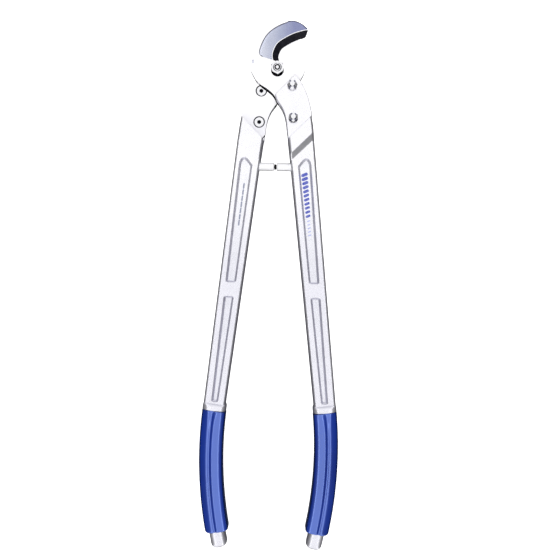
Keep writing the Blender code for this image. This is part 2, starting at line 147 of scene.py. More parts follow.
# The blade's edge, its bevel, the hollow above that, and the throat painted black as shadow
EDGE_LAND = 1.0 * MM
BEVEL_WIDTH = 9.0 * MM
BEVEL_TOP = 7.0 * MM
BEVEL_OVERRUN = 1.5 * MM
GRIND_STEP = 0.6 * MM
RIM_WIDTH = 1.3 * MM
LAND_WIDTH = 1.0 * MM
HOLLOW_SAG = 0.45 * MM
HOLLOW_STEPS = 6
THROAT_SHADOW = (-20.5 * MM, -52 * MM)
THROAT_CHAMFER = 1.2 * MM
SLOT_AT = (-37.4 * MM, 12.7 * MM)
SLOT_HALF = (1.2 * MM, 3.2 * MM)
TANG_CLEARANCE = 0.6 * MM
TANG_END_X = (21.4 * MM, 54.2 * MM)

# ---- Outlines in millimetres. Runs in a list are smoothed through. ----

MOUTH = [
    (2.6, 15.8), (0.9, 23), (2.4, 29.6), (6, 36.1), (12.4, 41), (21, 46.1), (29.5, 50),
    (39.1, 53),
]
BLUNT_TIP = [(41.6, 54.4), (42.9, 56.8), (45, 63.4)]
NOSE = [(43.7, 65.6), (39.4, 69.4), (31.1, 74.1), (22, 76.3), (14.6, 76)]
SPINE = [
    (12.6, 74.4), (0, 70.3), (-15, 63.2), (-27, 54.5), (-36, 43.5), (-42, 30), (-43.8, 15),
    (-41, 0), (-33, -14.8),
]
THROAT = [(-33, -14.8), (-23.2, -24.2), (-13.8, -30.6), (-5.6, -38), (0.4, -48.2)]
INNER_EDGE = [(0.4, -48.2), (4.2, -53.2), (8.2, -59.3), (12, -68), (14.6, -78), (16.1, -89)]
TANG_CORNER = (16.9, -96)
OUTER_EDGE = [(54.3, -68.6), (53, -61.6), (48.3, -43.6), (39.4, -22.8), (27.6, -7.3)]
HEEL = [(27.6, -7.3), (23, -3.4), (17.5, -2), (14.6, 1), (13.4, 7), (9, 13.2), (2.6, 15.8)]
GRIND_LINE = [
    (-22.5, 19.8), (-25.9, 21.2), (-28.2, 24.6), (-28.6, 29), (-26, 38), (-21.5, 48),
    (-15, 57), (-6.5, 64.2), (3.5, 70), (12.6, 73.8), (15.2, 75.3), (22, 76), (30.9, 73.8),
    (39.1, 69.1), (43.4, 65.4), (51, 66),
]
BEVEL_BEFORE = (2.9, 14.9)
BEVEL_AFTER = (52, 56)

CHEEK_CORNER = [(-2.6, -38.1), (-1.6, -43)]
HANDLE_INNER = [
    (0.4, -48.4), *INNER_EDGE[1:], (17.6, -102), (19.8, -119), (22.4, -139), (25.2, -161),
]
HANDLE_OUTER = [
    (65, -161), (61.8, -130.5), (59.3, -107), (57.2, -87), (54.9, -72), (51.8, -56),
    (46.6, -38), (38.4, -21.5), (27.4, -6.9),
]
BEAM_END = [(67.6, -514), (101.6, -510.2)]

# A recess's side wall is its X at RECESS_WALL_FROM, and how far it runs out per millimetre down
RECESS_WALL_FROM = -153
RECESS_INNER = (34.9, 0.1255)
RECESS_OUTER = (54.4, 0.0955)
UPPER_RECESS_TOP = [
    (54, -142), (52.5, -137.5), (49.5, -134), (45.5, -133.6), (42, -136.6), (35.4, -145),
]
RECESS_SPANS = ((-149, -323), (-345, -505.5))
RECESS_CORNER = 2.5

# How the collar rises out of the beam: place along the tail, half width, half height, squareness
COLLAR_RISE = [
    (-15, 14, 7, 6), (-11.5, 16.6, 9.4, 6), (-10.4, 17.2, 10.6, 5.5), (-9.2, 17.6, 12.4, 5),
    (-8, 17.9, 13.5, 4.5),
]

# The pivot bolt's staked end: radius, and how far down from the end
STAKED_END = ((5.2, 0), (4.4, 0), (4.1, 0.8), (2.8, 0.8), (2.4, 0.1), (2.1, 0))

# Runs of printed bars: Y of the first, count, pitch, then half length and half width, each with
# how much smaller it gets from bar to bar
BOLD_BARS = (-157.0, 11, 6.3, (5.2, 0.14), (2.4, 0.06))
FAINT_BARS = (-227.5, 5, 5.4, (2.6, 0.0), (1.0, 0.0))
BAR_SLANT = math.radians(24)
DASHES = (-176.0, 7, 9.4, (4.4, 0.0), (1.15, 0.0))

# ---- How sharp things are ----

# A forged edge's draft and rounding, as shares of the thickness there, and the flat at its middle
EDGE_DRAFT_SHARE = 0.05
EDGE_ROUND_SHARE = 0.17
PARTING = 0.5 * MM
EDGE_OFFSETS = [d * MM for d in (0.0, 0.4, 0.7, 1.0, 1.15, 1.45, 2.0, 2.8, 3.6, 4.4)]
SHOULDER_ROUND = 1.0 * MM
SHOULDER_DRAFT = 0.25 * MM
CORNER_SOFTNESS = 0.8 * MM
RECESS_WALL = (-1.1 * MM, 2.5 * MM)
RECESS_STEPS = 10
FASTENER_CREASE = 30

# ---- Where colours change: spans of Y down the handle and the tang, and of X along the hollow ----

# The handle's colour darkens towards the grip over this span
HANDLE_DARKENS = (-180 * MM, -300 * MM)
# Painted shade: the tang's colour darkens over this span
TANG_PAINTED_SHADE = (-50 * MM, -80 * MM)
# Painted reflection: the hollow's colour darkens over this span of X
HOLLOW_REFLECTION_DARKENS = (-20 * MM, 34 * MM)

# ---- Light and camera ----

# The softbox's radiance by how far a direction leans sideways, with brighter tubes at its rims,
# and how much of that is left by height, from 0 straight down to 1 straight up
SOFTBOX = (
    (0.0, 1.08), (0.29, 1.08), (0.33, 2.3), (0.385, 2.3), (0.43, 0.55), (0.6, 0.27),
    (0.72, 0.13), (1.0, 0.08),
)
BY_HEIGHT = [(0.0, 0.08), (0.30, 0.12), (0.46, 1.0), (1.0, 1.0)]
WORLD_STRENGTH = max(light for _, light in SOFTBOX)
FLOOR_HALF = 8.0
DOME_RADIUS = 7.0
FILL_RADIANCE = 0.9
FILL_SIZE = (1.6, 2.4)
FILL_HEIGHT = 1.4
CAMERA_AT = (0.0114, 0.0084)
CAMERA_DISTANCE = 0.85
CAMERA_TURN = math.radians(1.344)
FIELD_WIDTH = 0.8599
SENSOR_WIDTH = 36


# ---- Curves and meshes ----


def flat(points):
    """Outline points in millimetres as vectors in metres."""
    return [Vector((x * MM, y * MM)) for x, y in points]


def smooth(outline, steps=5):
    """A smooth open curve through outline points, with the given steps between neighbours."""
    points = flat(outline)
    p = [2 * points[0] - points[1], *points, 2 * points[-1] - points[-2]]
    curve = []
    for a, b, c, d in zip(p, p[1:], p[2:], p[3:]):
        for i in range(steps):
            t = i / steps
            linear = (c - a) * t
            square = (2 * a - 5 * b + 4 * c - d) * t**2
            cubic = (3 * b - a - 3 * c + d) * t**3
            curve.append(0.5 * (2 * b + linear + square + cubic))
    curve.append(points[-1].copy())
    return curve


def spread(points, count):
    """The same polyline as count points at even distances."""
    lengths = [0.0]
    for a, b in zip(points, points[1:]):
        lengths.append(lengths[-1] + (b - a).length)
    result = []
    span = 0
    for i in range(count):
        want = lengths[-1] * i / (count - 1)
        while span < len(points) - 2 and lengths[span + 1] < want:
            span += 1
        share = (want - lengths[span]) / (lengths[span + 1] - lengths[span])
        result.append(points[span].lerp(points[span + 1], share))
    return result


def even_run(low, high, step):
    """Distances from low to high, no further apart than the step."""
    count = math.ceil((high - low) / step)
    return [low + (high - low) * i / count for i in range(count + 1)]


def to_right(run, i):
    """A unit vector to the right of a polyline's direction at its point i."""
    along = (run[min(i + 1, len(run) - 1)] - run[max(i - 1, 0)]).normalized()
    return Vector((along.y, -along.x))


def inset(loop, distance):
    """A closed anticlockwise loop drawn in by a distance, or out by a negative one."""
    result = []
    for i, b in enumerate(loop):
        a, c = loop[i - 1], loop[(i + 1) % len(loop)]
        before = Vector((a.y - b.y, b.x - a.x)).normalized()
        after = Vector((b.y - c.y, c.x - b.x)).normalized()
        middle = (before + after).normalized()
        result.append(b + middle * (distance / max(middle.dot(before), 0.4)))
    return result


def closed(*runs):
    """Runs of points joined into one anticlockwise loop."""
    loop = [p for run in runs for p in run]
    area = sum(a.x * b.y - b.x * a.y for a, b in zip(loop, loop[1:] + loop[:1]))
    return loop if area > 0 else loop[::-1]


def depth_inside(points, loop):
    """For each point, its distance to the loop, positive inside."""
    p = np.array([(q[0], q[1]) for q in points])
    a = np.array([(q.x, q.y) for q in loop])
    b = np.roll(a, -1, axis=0)
    nearest = np.full(len(p), np.inf)
    crossings = np.zeros(len(p), int)
    for (ax, ay), (bx, by) in zip(a, b):
        edge = np.array((bx - ax, by - ay))
        t = ((p - (ax, ay)) @ edge / (edge @ edge)).clip(0, 1)
        away = p - (np.array((ax, ay)) + t[:, None] * edge)
        nearest = np.minimum(nearest, np.hypot(away[:, 0], away[:, 1]))
        spans = (ay > p[:, 1]) != (by > p[:, 1])
        if ay != by:
            at = ax + (p[:, 1] - ay) / (by - ay) * (bx - ax)
            crossings += spans & (p[:, 0] < at)
    return np.where(crossings % 2 == 1, nearest, -nearest)


def link_object(name, data):
    made = bpy.data.objects.new(name, data)
    bpy.context.scene.collection.objects.link(made)
    return made


def new_object(name, bm, materials):
    """An object made from a bmesh, which is used up."""
    bmesh.ops.recalc_face_normals(bm, faces=bm.faces)
    mesh = bpy.data.meshes.new(name)
    bm.to_mesh(mesh)
    bm.free()
    for m in materials:
        mesh.materials.append(m)
    return link_object(name, mesh)


def shade(obj, angle=FASTENER_CREASE, weighted=True):
    """Smooth shading with sharp edges kept, and flat faces that stay flat up to their rounding."""
    obj.data.shade_smooth()
    obj.data.set_sharp_from_angle(angle=math.radians(angle))
    if weighted:
        modifier = obj.modifiers.new("even_flats", "WEIGHTED_NORMAL")
        modifier.keep_sharp = True
    return obj


def add_loft(bm, rings, looped=False, place=None, index=0):
    """Adds a closed surface through rings of equal length."""
    rows = [[bm.verts.new(place @ p if place else p) for p in ring] for ring in rings]
    pairs = list(zip(rows, rows[1:]))
    if looped:
        pairs.append((rows[-1], rows[0]))
    for low, high in pairs:
        for i in range(len(low)):
            j = (i + 1) % len(low)
            bm.faces.new((low[i], low[j], high[j], high[i])).material_index = index
    if not looped:
        bm.faces.new(list(reversed(rows[0]))).material_index = index
        bm.faces.new(rows[-1]).material_index = index
    return bm


def loft(rings, **how):
    """A closed surface through rings, as a new bmesh."""
    return add_loft(bmesh.new(), rings, **how)


def around(i, radius, z):
    """The point at step i of ROUND_STEPS round the Z axis."""
    a = 2 * math.pi * i / ROUND_STEPS
    return Vector((radius * math.cos(a), radius * math.sin(a), z))


def circle(radius, z):
    return [around(i, radius, z) for i in range(ROUND_STEPS)]


def hexagon(flats, z, corner_radius=math.inf):
    """A hexagon with corners on the Y axis that matches circle(), cut back to corner_radius."""
    ring = []
    for i in range(ROUND_STEPS):
        a = 2 * math.pi * i / ROUND_STEPS
        from_flat = (a + math.pi / 6) % (math.pi / 3) - math.pi / 6
        ring.append(around(i, min(flats / 2 / math.cos(from_flat), corner_radius), z))
    return ring


def cut(obj, cutters):
    """Takes the cutters out of the object, leaves their materials on the cuts, and removes them."""
    for cutter in cutters:
        modifier = obj.modifiers.new(cutter.name, "BOOLEAN")
        modifier.operation = "DIFFERENCE"
        modifier.object = cutter
        modifier.solver = "EXACT"
        modifier.material_mode = "TRANSFER"
    bpy.context.view_layer.update()
    evaluated = obj.evaluated_get(bpy.context.evaluated_depsgraph_get())
    mesh = bpy.data.meshes.new_from_object(evaluated)
    obj.modifiers.clear()
    obj.data = mesh
    for cutter in cutters:
        bpy.data.objects.remove(cutter)


def keep_off_faces(obj):
    """Keeps a surface's shadow and mirror image off the bright faces round it."""
    obj.visible_shadow = obj.visible_glossy = obj.visible_diffuse = False
    return obj


def small_part(name, bm, metals):
    return keep_off_faces(shade(new_object(name, bm, metals)))


def finish_piece(obj, side, node, body=None):
    """Puts a piece made in its half's frame in place, and ties it to the CAD."""
    obj.matrix_world = HALVES[side]
    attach(obj, body or f"{side}_half")
    if node:
        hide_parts(node)


# ---- Nodes of a material ----


def set_inputs(tree, node, inputs):
    """Sets a node's inputs, or links those that are given another node's output."""
    for key, value in inputs.items():
        if isinstance(value, bpy.types.NodeSocket):
            tree.links.new(value, node.inputs[key])
        else:
            node.inputs[key].default_value = value


def add_node(tree, kind, inputs, **settings):
    node = tree.nodes.new(f"ShaderNode{kind}")
    for name, value in settings.items():
        setattr(node, name, value)
    set_inputs(tree, node, inputs)
    return node


def new_material(name, roughness, metallic, **values):
    """A material with its shader's even values set, _ standing for a space, and its node tree."""
    made = bpy.data.materials.new(name)
    made.use_nodes = True
    inputs = {key.replace("_", " "): value for key, value in values.items()}
    inputs |= {"Roughness": roughness, "Metallic": metallic}
    set_inputs(made.node_tree, made.node_tree.nodes["Principled BSDF"], inputs)
    return made, made.node_tree


def pattern(tree, colour, roughness, height=None, distance=0.0, strength=0.0):
    """Links what varies over the surface: its colour, its roughness and its bumps."""
    inputs = {"Base Color": colour, "Roughness": roughness}
    if height:
        bumps = {"Height": height, "Distance": distance, "Strength": strength}
        inputs["Normal"] = add_node(tree, "Bump", bumps).outputs["Normal"]
    set_inputs(tree, tree.nodes["Principled BSDF"], inputs)


def math_node(tree, operation, *values):
    """The result of a sum on numbers and outputs."""
    return add_node(tree, "Math", dict(enumerate(values)), operation=operation).outputs[0]


def multiplied(tree, colour, tone):
    inputs = {"Factor": 1.0, "A": colour, "B": tone}
    mix = add_node(tree, "Mix", inputs, data_type="RGBA", blend_type="MULTIPLY")
    return mix.outputs["Result"]


def grey_range(tree, value, low, high):
    """value from 0 to 1 as a number from low to high."""
    inputs = {"Value": value, "To Min": low, "To Max": high}
    return add_node(tree, "MapRange", inputs).outputs["Result"]


def coordinate(tree, kind, axis):
    """One axis of a texture coordinate."""
    coords = add_node(tree, "TexCoord", {})
    return add_node(tree, "SeparateXYZ", {"Vector": coords.outputs[kind]}).outputs[axis]


def share_along(tree, axis, span):
    """How far a point is along a span of one of the object's axes, from 0 to 1."""
    at = coordinate(tree, "Object", axis)
    inputs = {"Value": at, "From Min": span[0], "From Max": span[1]}
    return add_node(tree, "MapRange", inputs).outputs["Result"]


def noise(tree, scale, stretch=(1, 1, 1), detail=4.0, rough=0.55):
    """Noise over the object's own coordinates, in cycles per metre times the stretch."""
    coords = add_node(tree, "TexCoord", {})
    mapping = add_node(tree, "Mapping", {"Vector": coords.outputs["Object"], "Scale": stretch})
    inputs = {"Vector": mapping.outputs["Vector"], "Scale": scale, "Detail": detail}
    return add_node(tree, "TexNoise", {**inputs, "Roughness": rough}).outputs["Fac"]


def ramp(tree, value, stops):
    """A colour ramp over value. Each stop is (position, colour), and a grey is one number."""
    node = add_node(tree, "ValToRGB", {"Fac": value})
    elements = node.color_ramp.elements
    while len(elements) < len(stops):
        elements.new(0.5)
    for element, (position, colour) in zip(elements, stops):
        element.position = position
        element.color = (*colour, 1) if isinstance(colour, tuple) else (colour,) * 3 + (1,)
    return node.outputs["Color"]


def painted_facing_shade(tree, colour, stops, axis="Z"):
    """The colour with painted shade: darkened by how far the surface faces along one of the
    object's axes.
    """
    facing = math_node(tree, "ABSOLUTE", coordinate(tree, "Normal", axis))
    return multiplied(tree, colour, ramp(tree, facing, stops)), facing


def darker_along(tree, colour, span, tone):
    """The colour, multiplied by a tone that comes in over a span of Y."""
    stops = [(0.0, 1.0), (1.0, tone)]
    return multiplied(tree, colour, ramp(tree, share_along(tree, "Y", span), stops))


# ---- Materials ----


def forged_aluminium(name, darker, lighter):
    """Satin forged skin: the flats are bright, and the walls are darker with painted shade."""
    made, tree = new_material(name, 0.3, 0.8)
    colour = ramp(tree, noise(tree, 55, detail=3), [(0.3, darker), (0.7, lighter)])
    # Painted shade: the steeper a face, the darker its colour
    stops = [(0.0, (0.75, 0.75, 0.79)), (0.5, (0.8, 0.8, 0.83)), (0.85, 0.97), (0.99, 1.0)]
    with_painted_shade, facing = painted_facing_shade(tree, colour, stops)
    darkened = darker_along(tree, with_painted_shade, HANDLE_DARKENS, (0.87, 0.87, 0.90))
    grain = noise(tree, 220, detail=2)
    smoother_flats = grey_range(tree, facing, 0.36, 0.22)
    rough = math_node(tree, "MULTIPLY_ADD", grain, 0.12, smoother_flats)
    pattern(tree, darkened, rough, noise(tree, 900, detail=3), 0.02 * MM, 0.3)
    return made


def turned_aluminium():
    """The stop bosses: pale, with fine turning rings round their axis."""
    made, tree = new_material("turned_aluminium", 0.4, 0.6)
    rings = noise(tree, 300, stretch=(6, 0.3, 0.3), detail=3)
    colour = ramp(tree, rings, [(0.3, (0.84, 0.84, 0.86)), (0.7, (0.93, 0.93, 0.95))])
    pattern(tree, colour, grey_range(tree, rings, 0.3, 0.45), rings, 0.03 * MM, 0.5)
    return made


def ground_steel():
    """A surface-ground face: fine parallel scratches across the blade, painted shade on the walls
    and down the tang.
    """
    made, tree = new_material("ground_steel", 0.3, 0.55)
    lines = noise(tree, 90, stretch=(1, 14, 1), detail=5, rough=0.65)
    colour = ramp(tree, lines, [(0.25, (0.91, 0.905, 0.93)), (0.75, (0.96, 0.955, 0.97))])
    # Painted shade: the side walls are darker than the faces
    with_painted_shade, _ = painted_facing_shade(tree, colour, [(0.0, 0.7), (0.5, 0.75), (0.95, 1.0)])
    darkened = darker_along(tree, with_painted_shade, TANG_PAINTED_SHADE, (0.86, 0.86, 0.89))
    pattern(tree, darkened, grey_range(tree, lines, 0.28, 0.42), lines, 0.02 * MM, 0.4)
    return made


def hollow_ground_steel():
    """The polished hollow: a painted dark bluish reflection, deepening towards the tip, with
    grinding lines round it.
    """
    made, tree = new_material("hollow_ground_steel", 0.22, 1.0)
    along = share_along(tree, "X", HOLLOW_REFLECTION_DARKENS)
    wobble = math_node(tree, "MULTIPLY_ADD", noise(tree, 60, detail=3), 0.35, along)
    stops = [(0.15, (0.58, 0.60, 0.70)), (0.6, (0.39, 0.42, 0.56)), (1.0, (0.26, 0.28, 0.46))]
    lines = noise(tree, 160, stretch=(1, 5, 1), detail=5)
    rough = grey_range(tree, lines, 0.2, 0.34)
    pattern(tree, ramp(tree, wobble, stops), rough, lines, 0.02 * MM, 0.3)
    return made


def painted_shade_steel(name, low, high, roughness, shine=0.0):
    """Steel painted near black as shade, between two near-black tones."""
    made, tree = new_material(name, 0.4, 0.0, Specular_IOR_Level=shine)
    patch = noise(tree, 240, detail=4)
    stops = [(0.3, (low, low, low * 1.5)), (0.75, (high, high, high * 1.4))]
    rough = grey_range(tree, patch, *roughness)
    pattern(tree, ramp(tree, patch, stops), rough, noise(tree, 900, detail=3), 0.03 * MM, 0.4)
    return made


def plated_steel():
    """Zinc plating, with painted shade in bands the more a surface faces sideways along X."""
    made, tree = new_material("plated_steel", 0.25, 1.0)
    patch = noise(tree, 500, detail=3)
    colour = ramp(tree, patch, [(0.3, (0.80, 0.80, 0.83)), (0.7, (0.90, 0.90, 0.92))])
    stops = [
        (0.0, 1.0), (0.12, 0.95), (0.19, (0.10, 0.10, 0.16)), (0.27, (0.16, 0.16, 0.24)),
        (0.34, 1.0), (0.45, (0.2, 0.2, 0.28)), (1.0, (0.05, 0.05, 0.09)),
    ]
    with_painted_shade, _ = painted_facing_shade(tree, colour, stops, "X")
    rough = grey_range(tree, noise(tree, 700), 0.2, 0.34)
    pattern(tree, with_painted_shade, rough, noise(tree, 1500, detail=2), 0.02 * MM, 0.3)
    return made


def blue_vinyl():
    """Dipped vinyl: glossy, with a faint ripple along it, slight clouding in the colour, and
    painted shade on its sides.
    """
    gloss = {"IOR": 2.4, "Specular_IOR_Level": 1.0, "Specular_Tint": (0.36, 0.50, 1.0, 1)}
    made, tree = new_material("blue_vinyl", 0.14, 0.0, **gloss)
    cloud = noise(tree, 30, stretch=(1, 0.4, 1), detail=3)
    colour = ramp(tree, cloud, [(0.3, (0.0005, 0.018, 0.26)), (0.7, (0.001, 0.030, 0.36))])
    # Painted shade: the colour darkens where the surface turns away from Z
    with_painted_shade, _ = painted_facing_shade(tree, colour, [(0.0, 0.2), (0.4, 0.3), (0.75, 1.0)])
    ripple = noise(tree, 70, stretch=(1, 0.22, 1), detail=2)
    rough = grey_range(tree, noise(tree, 300), 0.10, 0.18)
    pattern(tree, with_painted_shade, rough, ripple, 0.3 * MM, 0.5)
    return made


def black_rubber():
    """Matte moulded rubber with a fine speckle."""
    made, tree = new_material("black_rubber", 0.7, 0.0, Specular_IOR_Level=0.2)
    speck = noise(tree, 900, detail=4)
    colour = ramp(tree, speck, [(0.3, (0.003, 0.003, 0.004)), (0.7, (0.011, 0.011, 0.013))])
    pattern(tree, colour, grey_range(tree, speck, 0.6, 0.85), speck, 0.05 * MM, 0.6)
    return made


def printing_ink(name, colour):
    """Screen-printed ink, thin enough that the metal's grain breaks it up."""
    made, tree = new_material(name, 0.5, 0.0, Specular_IOR_Level=0.3)
    broken = noise(tree, 1600, detail=4)
    paler = tuple(0.45 + 0.55 * c for c in colour)
    stops = [(0.5, colour), (0.68, paler)]
    pattern(tree, ramp(tree, broken, stops), grey_range(tree, broken, 0.4, 0.6))
    return made


# ---- Handles ----


def handle_outline():
    """The plan of a handle."""
    inner, outer = smooth(HANDLE_INNER, 4), smooth(HANDLE_OUTER, 4)
    return closed(flat(CHEEK_CORNER), inner, flat(BEAM_END), outer)


def wall_x(wall, y):
    """X of a recess's side wall at a height, both in millimetres."""
    return wall[0] + wall[1] * (RECESS_WALL_FROM - y)


def recess_outline(span):
    """The upper edge of one recess."""
    top, bottom = span
    near, far = RECESS_CORNER * 0.3, RECESS_CORNER

    def corner(wall, across, end, up):
        """A rounded corner, from the side wall to the end wall."""
        offsets = ((0, far), (near, near), (far, 0))
        return [(wall_x(wall, end + up * b) + across * a, end + up * b) for a, b in offsets]

    points = corner(RECESS_INNER, 1, bottom, 1)
    points += reversed(corner(RECESS_OUTER, -1, bottom, 1))
    if span == RECESS_SPANS[0]:
        points += UPPER_RECESS_TOP
    else:
        points += corner(RECESS_OUTER, -1, top, -1)
        points += reversed(corner(RECESS_INNER, 1, top, -1))
    return closed(flat(points))


def softened(value, length, width):
    """value held between 0 and length, with both bends rounded over twice the width."""

    def summed(v):
        inside = v.clip(0, length)
        return inside**2 / 2 + length * (v - length).clip(0, None)

    return (summed(value + width) - summed(value - width)) / (2 * width)


def rounding(depth, radius):
    """How far a quarter-round edge has dropped at a depth from where it starts."""
    short = radius - depth.clip(0, radius)
    return radius - np.sqrt((radius**2 - short**2).clip(0, None))


def edge_drop(depth, thickness):
    """How far a forged edge has dropped at a depth inside the outline: draft, then a rounding."""
    draft, radius = EDGE_DRAFT_SHARE * thickness, EDGE_ROUND_SHARE * thickness
    to_parting = (thickness / 2 - PARTING - radius).clip(0, None)
    return rounding(depth - draft, radius) + to_parting * (1 - depth / draft).clip(0, 1)


def handle_plan(outline, recesses):
    """The plan as points and faces, with edges along every line on which the surface bends."""
    loops = [inset(outline, offset) for offset in EDGE_OFFSETS]
    low, high = RECESS_WALL
    for recess in recesses:
        for i in range(RECESS_STEPS + 1):
            loops.append(inset(recess, low + (high - low) * i / RECESS_STEPS))
    points = [p for loop in loops for p in loop]
    edges = []
    start = 0
    for loop in loops:
        edges += [(start + i, start + (i + 1) % len(loop)) for i in range(len(loop))]
        start += len(loop)
    bends = [share * CORNER_SOFTNESS for share in (-1, -0.4, 0.4, 1)]
    slope_lines = [(SLOPE_AT, s) for s in bends] + [(SLOPE_AT, SLOPE_RUN + s) for s in bends]
    shoulder_steps = [-SHOULDER_DRAFT] + [SHOULDER_ROUND * share for share in (0, 0.15, 0.5, 1)]
    shoulder_lines = [(SHOULDER_AT, offset) for offset in shoulder_steps]
    for crossing, offset in slope_lines + shoulder_lines:
        middle = Vector((0, crossing)) + ACROSS_SLOPE * offset
        points += [middle - ALONG_SLOPE * 0.3, middle + ALONG_SLOPE * 0.3]
        edges.append((len(points) - 2, len(points) - 1))

    verts, _, faces, *_ = delaunay_2d_cdt(points, edges, [], 0, 1e-7)
    centres = [sum((verts[i] for i in f), Vector((0, 0))) / len(f) for f in faces]
    kept = [f for f, d in zip(faces, depth_inside(centres, outline)) if d > 0]
    used = sorted({i for f in kept for i in f})
    number = {old: new for new, old in enumerate(used)}
    return np.array([verts[i] for i in used]), [[number[i] for i in f] for f in kept]


def handle_heights(at, outline, recesses):
    """At each point of the plan, the front face, the back face, and how far they are hollowed."""
    low, high = RECESS_WALL
    hollow = np.zeros(len(at))
    for recess in recesses:
        share = ((depth_inside(at, recess) - low) / (high - low)).clip(0, 1)
        hollow += (BEAM_HALF - RECESS_FLOOR) * share**2 * (3 - 2 * share)
    down_slope = (at - (0, SLOPE_AT)) @ np.array(ACROSS_SLOPE)
    fall = softened(down_slope, SLOPE_RUN, CORNER_SOFTNESS)
    front = CHEEK_OUTER - fall * (CHEEK_OUTER - BEAM_HALF) / SLOPE_RUN
    above_shoulder = (at - (0, SHOULDER_AT)) @ -np.array(ACROSS_SLOPE)
    step = (above_shoulder / SHOULDER_DRAFT).clip(0, 1)
    back = CHEEK_INNER * step - BEAM_HALF * (1 - step)
    drop = edge_drop(depth_inside(at, outline), front - back)
    front -= drop + hollow
    back += drop * (1 - 0.8 * step) + hollow
    back += rounding(-above_shoulder, SHOULDER_ROUND) * (step == 0)
    return front, back, hollow


def add_forging(bm):
    """The cheek and the beam: the plan lifted to its front and its back, with walls between."""
    outline = handle_outline()
    recesses = [recess_outline(span) for span in RECESS_SPANS]
    at, faces = handle_plan(outline, recesses)
    front, back, hollow = handle_heights(at, outline, recesses)
    tops = [bm.verts.new((x, y, z)) for (x, y), z in zip(at, front)]
    bottoms = [bm.verts.new((x, y, z)) for (x, y), z in zip(at, back)]
    sunk = hollow > 0.98 * (BEAM_HALF - RECESS_FLOOR)
    directed = {}
    for ids in faces:
        # Faces on a recess floor take the second material, painted darker as shade
        index = int(all(sunk[i] for i in ids))
        bm.faces.new([tops[i] for i in ids]).material_index = index
        bm.faces.new([bottoms[i] for i in reversed(ids)]).material_index = index
        directed.update(dict.fromkeys(zip(ids, ids[1:] + ids[:1])))
    for a, b in directed:
        if (b, a) not in directed:
            bm.faces.new((tops[b], tops[a], bottoms[a], bottoms[b]))


def oval(half_width, half_height, steps=ROUND_STEPS, squareness=2.4):
    """A rounded section in (width, height), fuller than an ellipse, with evenly spaced points."""
    fine = []
    for i in range(361):
        a = math.radians(i)
        c, s = math.cos(a), math.sin(a)
        w = math.copysign(abs(c) ** (2 / squareness), c)
        h = math.copysign(abs(s) ** (2 / squareness), s)
        fine.append(Vector((half_width * w, half_height * h)))
    return spread(fine, steps + 1)[:-1]


def on_tail(along, section):
    """A section's points across the tail's arc, at a distance along it from the grip's top."""
    angle = TAIL_START - along / TAIL_RADIUS
    outward = Vector((math.cos(angle), math.sin(angle), 0))
    middle = TAIL_CENTRE + TAIL_RADIUS * outward
    return [middle + w * outward + Vector((0, 0, h)) for w, h in section]


def add_tail(bm):
    """The collar above the grip, the core inside it and the rounded tip below it."""
    stations = [(along * MM, w * MM, h * MM, s) for along, w, h, s in COLLAR_RISE]
    stations += [
        (-6.5 * MM, *COLLAR_HALF, 4),
        (-1.2 * MM, *COLLAR_HALF, 3.4),
        (-0.6 * MM, COLLAR_HALF[0] - 0.4 * MM, COLLAR_HALF[1] - 0.4 * MM, 3.2),
        (-0.6 * MM, *CORE_HALF, 2.4),
    ]
    stations += [(along, *CORE_HALF, 2.4) for along in even_run(6 * MM, CORE_END, 14 * MM)]
    dome_from = GRIP_LENGTH + TIP_LENGTH - TIP_DOME
    stations += [(along, *TIP_HALF, 2.8) for along in even_run(TIP_FROM, dome_from, 10 * MM)]
    for i in range(1, 10):
        a = math.pi / 2 * i / 10
        share = math.cos(a) ** 0.8
        along = dome_from + TIP_DOME * math.sin(a)
        stations.append((along, TIP_HALF[0] * share, TIP_HALF[1] * share, 2.8))
    add_loft(bm, [on_tail(along, oval(w, h, squareness=s)) for along, w, h, s in stations])


def along_x(at_y):
    """Turns a shape made along +Z to lie along +X at a place on the Y axis."""
    return Matrix.Translation((0, at_y, 0)) @ Matrix.Rotation(math.pi / 2, 4, "Y")


def stop_at():
    """Y of the stop's axis, from the CAD's bumper."""
    low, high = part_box("stop_bumper")
    return (low.y + high.y) / 2 - PIVOT.y


def add_stop_boss(bm, end, index):
    """The turned boss that meets the bumper, with a low bead near its root."""
    boss = [
        circle(STOP_RADIUS - 1.3 * MM, end),
        circle(STOP_RADIUS - 0.6 * MM, end + 0.2 * MM),
        circle(STOP_RADIUS, end + 0.9 * MM),
        circle(STOP_RADIUS, 24 * MM),
        circle(STOP_RADIUS + 0.5 * MM, 26.5 * MM),
        circle(STOP_RADIUS, 29 * MM),
    ]
    add_loft(bm, boss, place=along_x(stop_at()), index=index)


def make_handle(side, metals):
    """One handle in three metals: its skin, its recess floors in a copy painted darker as shade,
    and its stop boss.
    """
    bm = bmesh.new()
    add_forging(bm)
    add_tail(bm)
    add_stop_boss(bm, STOP_END[side], 2)
    made = shade(new_object(f"{side}_forging", bm, metals), 32)
    finish_piece(made, side, f"{side}_handle")


def sleeve_section(along, half_width, half_height):
    """The grip's section: its crown sits towards the inside, with a groove beside the crown."""
    section = []
    wide = GROOVE_WIDTH * (1 + GROOVE_FLARE * math.exp(-along / GROOVE_FLARE_LENGTH))
    for w, h in oval(half_width, half_height, GRIP_STEPS, GRIP_SQUARENESS):
        share = abs(h) / half_height
        w -= GRIP_SKEW * half_width * share**2
        groove = GROOVE_DEPTH * math.exp(-(((w - GROOVE_AT) / wide) ** 2))
        section.append((w, h - math.copysign(groove * share**2, h)))
    return section


